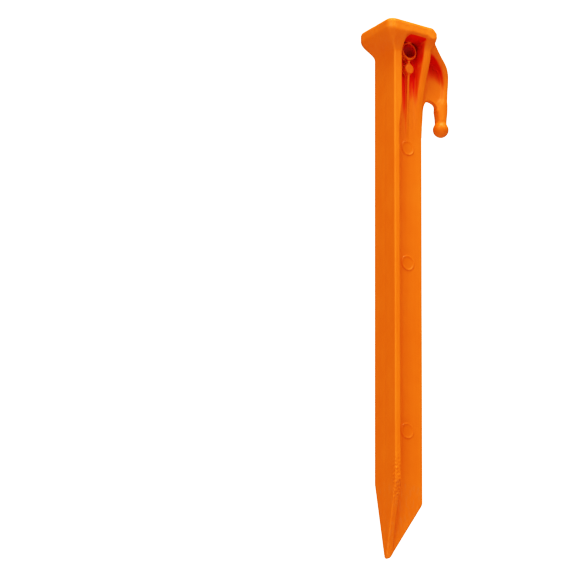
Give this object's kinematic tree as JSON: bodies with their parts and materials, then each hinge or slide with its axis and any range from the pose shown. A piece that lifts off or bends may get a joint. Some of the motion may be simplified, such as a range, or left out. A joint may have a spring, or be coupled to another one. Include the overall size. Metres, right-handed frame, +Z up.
{
  "type": "tent stake",
  "caption": "Moulded plastic tent stake: T-section shaft with a pointed end, a flat strike head, side pockets with an eyelet, and a hook with a ball tip for the guy line.",
  "frame": {"origin": "the driving point, at the lowest point of the stake, on the plane of the flange's flat outer face", "axes": "+Z up the shaft from the point to the strike head, +X from the flange's outer face towards the web's free edge and the hook, +Y to the left of the symmetry plane"},
  "size_m": [0.0509, 0.0324, 0.305],
  "materials": {
    "moulded_plastic": "satin as-moulded orange ABS, fine mould texture",
    "head_plastic": "satin orange ABS, rounded and slightly brighter at the rim",
    "worn_plastic": "duller orange ABS, rough flash along the flange edge",
    "polished_plastic": "smoother, shinier orange ABS where a polished mould surface shaped it"
  },
  "bodies": {
    "root": {"strike_head": "head_plastic", "spine_flange": "moulded_plastic", "blade_web": "moulded_plastic", "driving_point": "worn_plastic", "hook_plate": "moulded_plastic", "hook_rim": "moulded_plastic", "hook_prong": "moulded_plastic", "hook_ball": "polished_plastic", "gusset_right": "moulded_plastic", "eyelet_ring_right": "moulded_plastic", "pocket_rib_right": "moulded_plastic", "ejector_mark_upper_right": "polished_plastic", "ejector_mark_middle_right": "polished_plastic", "ejector_mark_lower_right": "polished_plastic", "gusset_left": "moulded_plastic", "eyelet_ring_left": "moulded_plastic", "pocket_rib_left": "moulded_plastic", "ejector_mark_upper_left": "polished_plastic", "ejector_mark_middle_left": "polished_plastic", "ejector_mark_lower_left": "polished_plastic"}
  },
  "joints": []
}
